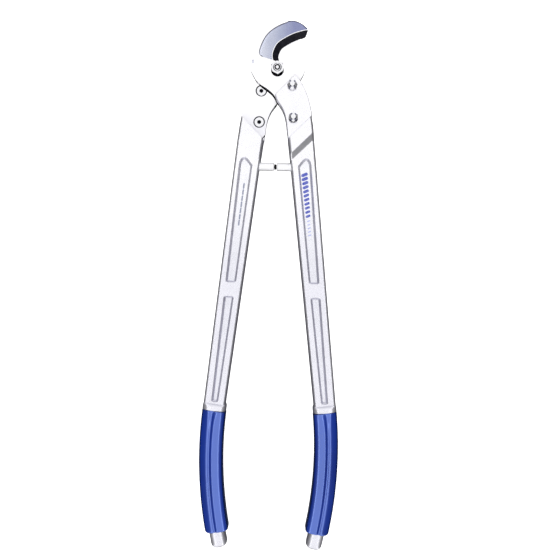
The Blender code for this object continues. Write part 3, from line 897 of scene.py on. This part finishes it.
def make_grip(side, vinyl):
    """The sleeve, open at both ends, with a rolled upper lip and a rounded lower end."""
    width, height = GRIP_HALF
    round_length, round_depth = GRIP_END_ROUND
    round_from = GRIP_LENGTH - round_length
    outside = GRIP_LIP + [(along, 0.0) for along in even_run(6 * MM, round_from, 5 * MM)]
    for i in range(1, 6):
        a = math.pi / 2 * i / 5
        back = round_depth * (1 - math.cos(a))
        outside.append((round_from + round_length * math.sin(a), back))
    rings = [on_tail(a, sleeve_section(a, width - back, height - back)) for a, back in outside]
    inside = [(along, *TIP_HALF) for along in (GRIP_LENGTH, TIP_FROM)]
    inside += [(along, *CORE_HALF) for along in reversed(even_run(0, CORE_END, 14 * MM))]
    for along, w, h in inside:
        rings.append(on_tail(along, oval(w + GAP, h + GAP, GRIP_STEPS)))
    sleeve = new_object(f"{side}_vinyl_sleeve", loft(rings, looped=True), [vinyl])
    finish_piece(shade(sleeve, 50, weighted=False), side, f"{side}_grip")


# ---- Printed marks ----


def add_bar(bm, x, y, half_length, half_width, angle):
    """A thin printed bar with clipped ends on the floor of the front recess."""
    along = Vector((math.cos(angle), math.sin(angle), 0))
    side = Vector((-along.y, along.x, 0))
    clip = half_width * 0.6
    corners = [
        (-half_length, -half_width + clip),
        (-half_length + clip, -half_width),
        (half_length - clip, -half_width),
        (half_length, -half_width + clip),
    ]
    corners += [(-a, -b) for a, b in corners]
    rings = []
    for z in (MARK_SINK, MARK_TOP):
        rings.append([Vector((x, y, z)) + along * a + side * b for a, b in corners])
    add_loft(bm, rings)


def printed_run(name, run, angle, ink):
    """A column of bars down the middle of the upper recess."""
    bm = bmesh.new()
    first, count, pitch, (length, shorter), (width, narrower) = run
    for i in range(count):
        y = first - i * pitch
        x = (wall_x(RECESS_INNER, y) + wall_x(RECESS_OUTER, y)) / 2
        half_length, half_width = length - shorter * i, width - narrower * i
        add_bar(bm, x * MM, y * MM, half_length * MM, half_width * MM, angle)
    return new_object(name, bm, [ink])


def make_marks():
    """Plain bars and dashes, in place of the print on the two upper faces."""
    blue = printing_ink("blue_ink", (0.035, 0.06, 0.42))
    faded = printing_ink("faded_blue_ink", (0.42, 0.45, 0.72))
    bold = printed_run("right_printed_bars", BOLD_BARS, BAR_SLANT, blue)
    faint = printed_run("right_faded_bars", FAINT_BARS, BAR_SLANT, faded)
    for bars in (bold, faint):
        finish_piece(bars, "right", None)
    along_beam = math.pi / 2 + math.atan((RECESS_INNER[1] + RECESS_OUTER[1]) / 2)
    grey = printing_ink("grey_ink", (0.20, 0.22, 0.32))
    line = printed_run("left_printed_line", DASHES, along_beam, grey)
    line.data.transform(Matrix.Scale(-1, 4, (0, 0, 1)))
    line.data.flip_normals()
    finish_piece(line, "left", None)


# ---- Blades ----


def blade_outline():
    """The plan of a blade. Its tang ends along the handle's shoulder."""
    tang_end = [Vector((x, x + SHOULDER_AT + TANG_CLEARANCE)) for x in TANG_END_X]
    return closed(
        smooth(MOUTH, 6),
        flat(BLUNT_TIP),
        smooth(NOSE, 4),
        smooth(SPINE)[:-1],
        smooth(THROAT)[:-1],
        smooth(INNER_EDGE, 4),
        flat([TANG_CORNER]),
        tang_end,
        smooth(OUTER_EDGE, 4)[:-1],
        smooth(HEEL)[:-1],
    )


def screw_cutters(side, skin):
    """What the pivot bolt's hole and the clamp screws' countersunk holes take out of a blade."""
    through = BLADE_OUTER + MM
    hole = PIVOT_RADIUS + 0.2 * MM
    # The walls these cut take the given near-black colour: painted shade in the holes
    cutters = [new_object("cutter", loft([circle(hole, -MM), circle(hole, through)]), [skin])]
    mouth, hole = CLAMP_MOUTH_RADIUS, CLAMP_RADIUS + GAP
    rings = [
        circle(mouth, -0.5 * MM),
        circle(mouth, CLAMP_MOUTH_DEPTH),
        circle(hole, CLAMP_MOUTH_DEPTH + mouth - hole),
        circle(hole, through),
    ]
    for at in clamp_centres(side).values():
        place = Matrix.Translation((*at, 0))
        cutters.append(new_object("cutter", loft(rings, place=place), [skin]))
    return cutters


def slot_cutter(skin):
    """What the short slot by the spine takes off the outer face."""
    # The slot's cut takes the hollow's darker colour: painted shade in the slot
    place = Matrix.Translation((*SLOT_AT, 0))
    section = oval(*SLOT_HALF, 24)
    rings = []
    for z in (BLADE_OUTER - 0.5 * MM, BLADE_OUTER + MM):
        rings.append([Vector((x, y, z)) for x, y in section])
    return new_object("cutter", loft(rings, place=place), [skin])


def throat_cutter(skin):
    """What the chamfer along the throat's painted shadow takes off the outer face, its cut painted
    black.
    """
    run = [p for p in spread(smooth(THROAT), 28) if p.y < THROAT_SHADOW[0]]
    rings = []
    for i, p in enumerate(run):
        away = to_right(run, i)
        width = THROAT_CHAMFER * min(1.0, 0.1 + i / 6)
        section = [
            (p - away * 2 * width, BLADE_OUTER + width),
            (p + away * width, BLADE_OUTER - 2 * width),
            (p + away * width, BLADE_OUTER + width),
        ]
        rings.append([Vector((q.x, q.y, z)) for q, z in section])
    return new_object("throat_chamfer", loft(rings), [skin])


def grind_cutter(face, hollow, bevel, rim, steps=72):
    """What grinding takes off the outer face: the hollow from GRIND_LINE, and the bevel."""
    edge = spread(flat([BEVEL_BEFORE]) + smooth(MOUTH, 6) + flat([BEVEL_AFTER]), steps)
    back = spread(smooth(GRIND_LINE), steps)
    above = BLADE_OUTER + 3 * MM
    slope = (BEVEL_TOP - EDGE_LAND) / BEVEL_WIDTH
    rings = []
    for i in range(steps):
        away = to_right(edge, i)
        bevel_top = edge[i] - away * BEVEL_WIDTH
        clear = edge[i] + away * BEVEL_OVERRUN
        inward = (bevel_top - back[i]).normalized()
        hollow_from = back[i] + inward * RIM_WIDTH
        hollow_to = bevel_top - inward * LAND_WIDTH
        section = [(back[i], above), (back[i], BLADE_OUTER - 0.05 * MM)]
        for j in range(HOLLOW_STEPS + 1):
            t = j / HOLLOW_STEPS
            height = (BLADE_OUTER - GRIND_STEP) * (1 - t) + BEVEL_TOP * t
            height -= HOLLOW_SAG * 4 * t * (1 - t)
            section.append((hollow_from.lerp(hollow_to, t), height))
        section += [
            (bevel_top, BEVEL_TOP),
            (clear, EDGE_LAND - slope * BEVEL_OVERRUN),
            (clear, above),
        ]
        rings.append([Vector((p.x, p.y, z)) for p, z in section])
    cutter = new_object("grind", loft(rings), [face, hollow, bevel, rim])
    paint_grind(cutter, rings)
    return cutter


def paint_grind(cutter, rings):
    """Lays the cutter's materials along its strips, with the rim's round the hollow's lower end as
    a painted shade line.
    """
    face, hollow, bevel, rim = range(4)
    strips = [face, rim] + [hollow] * HOLLOW_STEPS + [face, bevel, bevel, face]
    corner = rings[0][0].to_2d()
    lower_end = (rings[0][len(strips) - 3].to_2d() - corner).normalized()
    for i, polygon in enumerate(cutter.data.polygons[: (len(rings) - 1) * len(strips)]):
        strip = strips[i % len(strips)]
        inside = abs((polygon.center.to_2d() - corner).cross(lower_end))
        polygon.material_index = rim if strip == hollow and inside < RIM_WIDTH else strip


def make_blade(side, metals):
    """One blade: its faces ground, with the throat painted black as shadow, a hollow and a bevel.
    """
    face, black, hollow, bevel, rim = metals
    name = BLADES[side]
    outline = blade_outline()
    rings = [[Vector((p.x, p.y, z)) for p in outline] for z in (BLADE_INNER, BLADE_OUTER)]
    blade = new_object(f"{name}_steel", loft(rings), [face, black])
    # Painted shadow: side walls along the throat and below the tang's corner are painted black
    throat_top, throat_bottom = THROAT_SHADOW
    for polygon in blade.data.polygons:
        x, y, _ = polygon.center
        in_throat = x < 6 * MM and throat_bottom < y < throat_top
        in_corner = y < TANG_CORNER[1] * MM
        polygon.material_index = int(abs(polygon.normal.z) < 0.5 and (in_throat or in_corner))
    cutters = screw_cutters(side, black)
    cutters += [slot_cutter(hollow), throat_cutter(black), grind_cutter(face, hollow, bevel, rim)]
    cut(blade, cutters)
    finish_piece(keep_off_faces(shade(blade, 24)), side, name)


# ---- Fasteners ----


def clamp_centres(side):
    """Where the clamp screws are in the half's frame, from the CAD's nuts."""
    centres = {}
    for level in CLAMP_NUT_TURN:
        low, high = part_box(f"{side}_{level}_clamp_nut")
        middle = (low + high) / 2 - PIVOT
        centres[level] = (abs(middle.x), middle.y)
    return centres


def thread(radius, cut_and_pitch, low, high):
    """Rings of a screw thread from low to high, running out in a chamfer at the top."""
    depth, pitch = cut_and_pitch
    count = round((high - low) / pitch * 6)
    rings = []
    for i in range(count + 1):
        z = low + (high - low) * i / count
        limit = radius - max(0.0, z - (high - depth * 1.8)) * 0.4
        ring = []
        for k in range(ROUND_STEPS):
            phase = (z / pitch - k / ROUND_STEPS) % 1.0
            cutting = depth * (1 - abs(2 * phase - 1))
            ring.append(around(k, min(radius - cutting, limit), z))
        rings.append(ring)
    return rings


def nut_rings(flats, bore, low, high, crown=0.0):
    """A hexagon nut, its corners turned off a little at both ends, its top higher at the bore."""
    run = 0.6 * MM
    least, most = flats / 2 * 1.04, flats / 2 * 1.16
    bore_top = circle(bore + 0.3 * MM, high)
    high -= crown
    rings = [circle(bore + 0.5 * MM, low), hexagon(flats, low, least)]
    for i in range(1, 4):
        rings.append(hexagon(flats, low + run * i / 3, least + (most - least) * i / 3))
    for i in range(3, -1, -1):
        rings.append(hexagon(flats, high - run * i / 3, least + (most - least) * i / 3))
    rings += [bore_top, circle(bore, high + crown - 0.3 * MM), circle(bore, low + 0.5 * MM)]
    return rings


def make_nut(name, rings, place, metals, bare=-2.0):
    """A nut with walls painted dark as shade, but for those whose normal's Y is bare or less."""
    nut = small_part(name, loft(rings, looped=True, place=place), metals)
    for polygon in nut.data.polygons:
        if abs(polygon.normal.z) < 0.35 and polygon.normal.y > bare:
            polygon.material_index = 1
    return nut


def clamp_screw(name, place, plating, dark):
    """A countersunk screw with its hexagon socket painted dark as shade, threaded where it stands
    out of its nut.
    """
    face = CLAMP_HEAD_AT
    flats = CLAMP_SOCKET_FLATS
    rings = [
        hexagon(flats, face + CLAMP_SOCKET_DEPTH),
        hexagon(flats, face + 0.5 * MM),
        hexagon(flats + 0.9 * MM, face),
        circle(CLAMP_HEAD_RADIUS - 0.35 * MM, face),
        circle(CLAMP_HEAD_RADIUS, face + 0.3 * MM),
        circle(CLAMP_HEAD_RADIUS, face + 0.9 * MM),
        circle(CLAMP_RADIUS, face + CLAMP_HEAD_RADIUS - CLAMP_RADIUS + 0.5 * MM),
    ]
    rings += thread(CLAMP_RADIUS, CLAMP_THREAD, CLAMP_NUT_TOP - 3 * CLAMP_THREAD[1], CLAMP_END)
    screw = small_part(name, loft(rings, place=place), [plating, dark])
    for polygon in screw.data.polygons:
        from_axis = (polygon.center - place.translation).to_2d().length
        in_head = polygon.center.z < face + CLAMP_SOCKET_DEPTH + 0.1 * MM
        polygon.material_index = int(in_head and from_axis < 0.6 * flats)
    return screw


def washer_section(inner, outer, low, high, foot, top):
    """(radius, height) round a washer's section, with its outer corners cut at foot and top."""
    return [
        (inner, low),
        (outer - foot, low),
        (outer, low + foot),
        (outer, high - top),
        (outer - top, high),
        (inner, high),
    ]


def spring_washer():
    """Sections of a split washer that climbs by its own springing from one end to the other."""
    inner, outer = CLAMP_RADIUS + 0.4 * MM, CLAMP_WASHER_RADIUS
    slot = math.radians(10)
    climb, thick, corner = 0.25 * MM, 1.5 * MM, 0.25 * MM
    steps = 56
    sections = []
    for i in range(steps + 1):
        a = slot / 2 + (2 * math.pi - slot) * i / steps
        out = Vector((math.cos(a), math.sin(a), 0))
        z = CLAMP_WASHER_AT + climb * i / steps
        section = washer_section(inner, outer, z, z + thick, corner, corner)
        sections.append([out * r + Vector((0, 0, h)) for r, h in section])
    return sections


def make_clamp(side, level, plating, dark):
    """A clamp screw with its spring washer and its nut."""
    prefix = f"{side}_{level}"
    place = Matrix.Translation((*clamp_centres(side)[level], 0))
    screw = clamp_screw(f"{prefix}_screw", place, plating, dark)
    finish_piece(screw, side, f"{prefix}_clamp_screw")

    washer = new_object(f"{prefix}_lock_washer", loft(spring_washer(), place=place), [plating])
    finish_piece(shade(washer), side, f"{prefix}_spring_washer")

    bore = CLAMP_RADIUS + 0.05 * MM
    rings = nut_rings(CLAMP_NUT_FLATS, bore, CLAMP_NUT_AT, CLAMP_NUT_TOP, CLAMP_NUT_CROWN)
    turned = place @ Matrix.Rotation(CLAMP_NUT_TURN[level], 4, "Z")
    nut = make_nut(f"{prefix}_nut", rings, turned, [plating, dark], bare=-0.95)
    finish_piece(nut, side, f"{prefix}_clamp_nut")


def make_pivot_washers(dark):
    """The plain washers under the nut in front and under the bolt's head behind, painted near black
    as shade.
    """
    radii, heights = (PIVOT_BORE, PIVOT_WASHER_RADIUS), (PIVOT_WASHER_AT, PIVOT_WASHER_TOP)
    section = washer_section(*radii, *heights, 0.3 * MM, 0.4 * MM)
    for node, sign in (("pivot_nut_washer", 1), ("pivot_head_washer", -1)):
        rings = [circle(r, sign * z) for r, z in section]
        washer = small_part(f"{node}_plain", loft(rings, looped=True), [dark])
        finish_piece(washer, "right", node, "left_half")


def make_pivot_nut(plating, dark):
    """The bright hexagon nut with its flanks painted dark as shade."""
    rings = nut_rings(PIVOT_FLATS, PIVOT_BORE, PIVOT_NUT_AT, PIVOT_NUT_TOP)
    turned = Matrix.Rotation(PIVOT_NUT_TURN, 4, "Z")
    nut = make_nut("pivot_hexagon_nut", rings, turned, [plating, dark])
    finish_piece(nut, "right", "pivot_nut", "left_half")


def make_pivot_bolt(plating, dark):
    """A hexagon bolt from behind, with a staked groove in the end that stands out of the nut."""
    head_top = -PIVOT_NUT_AT
    head_bottom = head_top - PIVOT_HEAD_HEIGHT
    corner = PIVOT_FLATS / 2
    rings = [hexagon(PIVOT_FLATS, head_bottom, corner * 0.97)]
    for i in range(1, 5):
        z = head_bottom + 1.1 * MM * i / 4
        rings.append(hexagon(PIVOT_FLATS, z, corner * (0.97 + 0.19 * i / 4)))
    rings.append(hexagon(PIVOT_FLATS, head_top))
    rings += [circle(PIVOT_RADIUS, head_top), circle(PIVOT_RADIUS, 0)]
    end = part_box("pivot_bolt")[1].z - PIVOT.z
    thread_from = PIVOT_NUT_TOP - 2 * PIVOT_THREAD[1]
    rings += thread(PIVOT_RADIUS, PIVOT_THREAD, thread_from, end - 0.2 * MM)
    groove_from = len(rings) + 1
    rings += [circle(radius * MM, end - down * MM) for radius, down in STAKED_END]
    bolt = small_part("pivot_hexagon_bolt", loft(rings), [plating, dark])
    # The staked groove is painted black as shade
    for i in range(groove_from * ROUND_STEPS, (groove_from + 3) * ROUND_STEPS):
        bolt.data.polygons[i].material_index = 1
    finish_piece(bolt, "right", "pivot_bolt", "left_half")


def make_bumper(rubber):
    """A domed rubber button whose stem plugs into the left boss."""
    face = -STOP_END["right"] + GAP
    back = STOP_END["left"] - GAP
    rings = [
        circle(2.4 * MM, face),
        circle(3.3 * MM, face + 0.15 * MM),
        circle(3.9 * MM, face + 0.6 * MM),
        circle(4.2 * MM, face + 1.3 * MM),
        circle(4.2 * MM, back - 0.4 * MM),
        circle(3.8 * MM, back),
        circle(2.1 * MM, back),
        circle(2.1 * MM, STOP_END["left"] + 5.5 * MM),
    ]
    bumper = new_object("stop_button", loft(rings, place=along_x(stop_at())), [rubber])
    finish_piece(shade(bumper, 40), "left", "stop_bumper")


# ---- Floor, light and camera ----


def make_studio():
    """A wide pale floor and a dome over it. Neither is mirrored in the metal."""
    glow = {"Emission_Color": (1, 1, 1, 1), "Emission_Strength": 1.0, "Specular_IOR_Level": 0.0}
    made, _ = new_material("pale_studio", 0.9, 0.0, Base_Color=(0.8, 0.8, 0.8, 1), **glow)
    floor_mesh = bmesh.new()
    bmesh.ops.create_grid(floor_mesh, x_segments=1, y_segments=1, size=FLOOR_HALF)
    dome_mesh = bmesh.new()
    bmesh.ops.create_uvsphere(dome_mesh, u_segments=48, v_segments=24, radius=DOME_RADIUS)
    for name, bm in (("studio_floor", floor_mesh), ("studio_dome", dome_mesh)):
        surface = keep_off_faces(new_object(name, bm, [made]))
        surface.visible_transmission = False


def make_world():
    """A long softbox overhead that runs down to both ends of the tool, in a dim room."""
    world = bpy.data.worlds.new("studio")
    bpy.context.scene.world = world
    world.use_nodes = True
    tree = world.node_tree
    sideways = math_node(tree, "ABSOLUTE", coordinate(tree, "Generated", "X"))
    box = ramp(tree, sideways, [(at, light / WORLD_STRENGTH) for at, light in SOFTBOX])
    height = math_node(tree, "MULTIPLY_ADD", coordinate(tree, "Generated", "Z"), 0.5, 0.5)
    glow = multiplied(tree, box, ramp(tree, height, BY_HEIGHT))
    set_inputs(tree, tree.nodes["Background"], {"Color": glow, "Strength": WORLD_STRENGTH})


def make_lights():
    """A soft fill from above that lights paint and plastic but isn't mirrored."""
    data = bpy.data.lights.new("fill", "AREA")
    data.shape = "RECTANGLE"
    data.size, data.size_y = FILL_SIZE
    data.energy = FILL_RADIANCE * math.pi * data.size * data.size_y
    fill = link_object("fill", data)
    fill.location = (0, 0, FILL_HEIGHT)
    fill.visible_glossy = False
    fill.visible_camera = False


def make_camera():
    """Straight above the middle of the tool, turned a touch so that the head leans right."""
    data = bpy.data.cameras.new("camera")
    data.sensor_width = SENSOR_WIDTH
    data.lens = SENSOR_WIDTH * CAMERA_DISTANCE / FIELD_WIDTH
    camera = link_object("camera", data)
    camera.location = (*CAMERA_AT, PIVOT.z + CAMERA_DISTANCE)
    camera.rotation_euler = (0, 0, CAMERA_TURN)
    bpy.context.scene.camera = camera


def main():
    bpy.context.scene.view_settings.view_transform = "Standard"
    forged = forged_aluminium("forged_aluminium", (0.865, 0.86, 0.905), (0.91, 0.905, 0.945))
    # The recess floors take a darker copy of the aluminium: painted shade
    recess_shaded = forged_aluminium("recessed_aluminium", (0.82, 0.82, 0.86), (0.88, 0.88, 0.92))
    handle_metals = (forged, recess_shaded, turned_aluminium())
    plating = plated_steel()
    # Near-black painted shade for the throat, holes, nut flanks, socket, groove and pivot washers
    black = painted_shade_steel("painted_shade_steel", 0.002, 0.010, (0.35, 0.55))
    # The bevel is painted near black as a dark reflection
    bevel = painted_shade_steel("cutting_bevel", 0.006, 0.018, (0.25, 0.4), 0.06)
    # The rim round the hollow is a painted shade line
    rim = painted_shade_steel("grind_rim", 0.05, 0.12, (0.3, 0.5))
    blade_metals = (ground_steel(), black, hollow_ground_steel(), bevel, rim)
    vinyl = blue_vinyl()
    for side in HALVES:
        make_handle(side, handle_metals)
        make_grip(side, vinyl)
        make_blade(side, blade_metals)
        for level in CLAMP_NUT_TURN:
            make_clamp(side, level, plating, black)
    make_pivot_washers(black)
    make_pivot_nut(plating, black)
    make_pivot_bolt(plating, black)
    make_bumper(black_rubber())
    make_marks()
    make_studio()
    make_world()
    make_lights()
    make_camera()


main()
